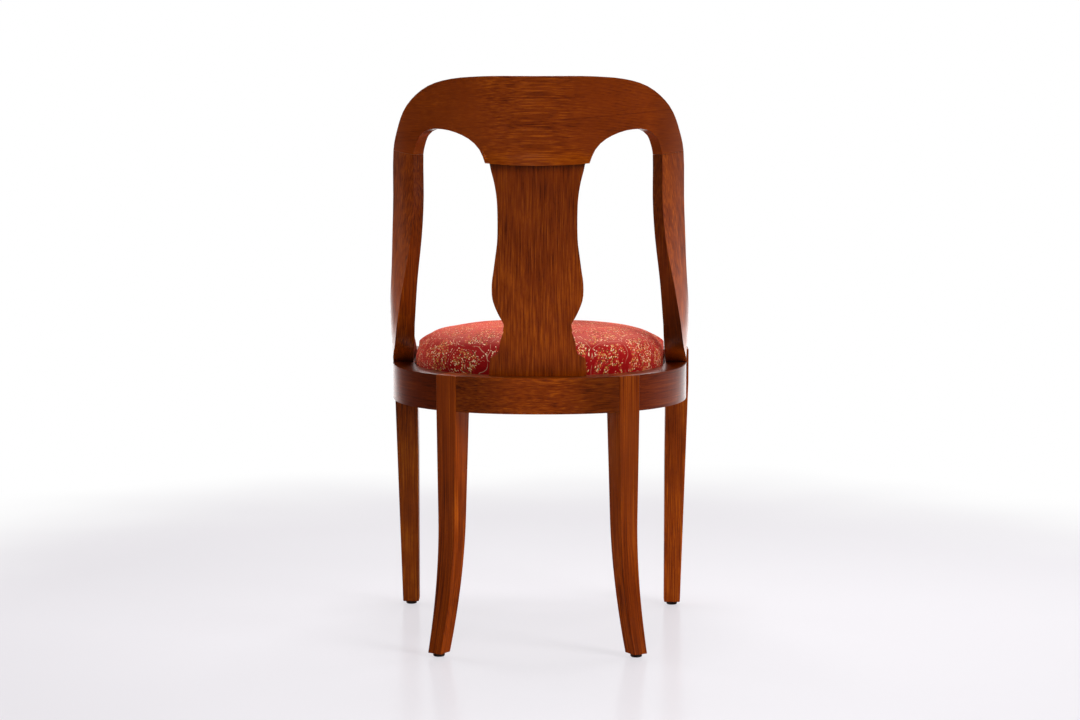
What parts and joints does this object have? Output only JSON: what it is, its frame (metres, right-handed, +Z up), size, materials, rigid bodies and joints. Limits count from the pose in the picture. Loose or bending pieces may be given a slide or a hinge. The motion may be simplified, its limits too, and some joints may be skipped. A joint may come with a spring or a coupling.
{
  "type": "lyre back dining chair",
  "caption": "Wooden gondola dining chair with a barrel back, a vase splat, a horseshoe seat ring and a round upholstered drop-in seat.",
  "frame": {"origin": "centre of the chair's footprint box, on the floor", "axes": "+Z up, the sitter faces -Y, so the back is at +Y and the sitter's left is +X"},
  "size_m": [0.486, 0.466, 0.8841],
  "materials": {
    "stained_beech": "satin lacquer",
    "bare_beech": "unfinished",
    "plywood": "unfinished",
    "foam": "open cell foam",
    "brocade": "woven brocade",
    "dust_cloth": "spunbond cloth",
    "glide_plastic": "matte",
    "screw_steel": "yellow zinc plated"
  },
  "bodies": {
    "root": {"crest_rail": "stained_beech", "back_splat": "stained_beech", "rear_seat_rail": "stained_beech", "front_seat_rail": "stained_beech", "seat_board": "plywood", "seat_foam": "foam", "seat_cover": "brocade", "dust_cover": "dust_cloth", "left_stile": "stained_beech", "left_seat_rail": "stained_beech", "left_crest_dowel_1": "bare_beech", "left_stile_dowel_1": "bare_beech", "left_crest_dowel_2": "bare_beech", "left_stile_dowel_2": "bare_beech", "rear_left_leg": "stained_beech", "rear_left_corner_block": "bare_beech", "rear_left_glide": "glide_plastic", "rear_left_seat_screw": "screw_steel", "rear_left_block_screw_1": "screw_steel", "rear_left_block_screw_2": "screw_steel", "front_left_leg": "stained_beech", "front_left_corner_block": "bare_beech", "front_left_glide": "glide_plastic", "front_left_seat_screw": "screw_steel", "front_left_block_screw_1": "screw_steel", "front_left_block_screw_2": "screw_steel", "right_stile": "stained_beech", "right_seat_rail": "stained_beech", "right_crest_dowel_1": "bare_beech", "right_stile_dowel_1": "bare_beech", "right_crest_dowel_2": "bare_beech", "right_stile_dowel_2": "bare_beech", "rear_right_leg": "stained_beech", "rear_right_corner_block": "bare_beech", "rear_right_glide": "glide_plastic", "rear_right_seat_screw": "screw_steel", "rear_right_block_screw_1": "screw_steel", "rear_right_block_screw_2": "screw_steel", "front_right_leg": "stained_beech", "front_right_corner_block": "bare_beech", "front_right_glide": "glide_plastic", "front_right_seat_screw": "screw_steel", "front_right_block_screw_1": "screw_steel", "front_right_block_screw_2": "screw_steel"}
  },
  "joints": []
}
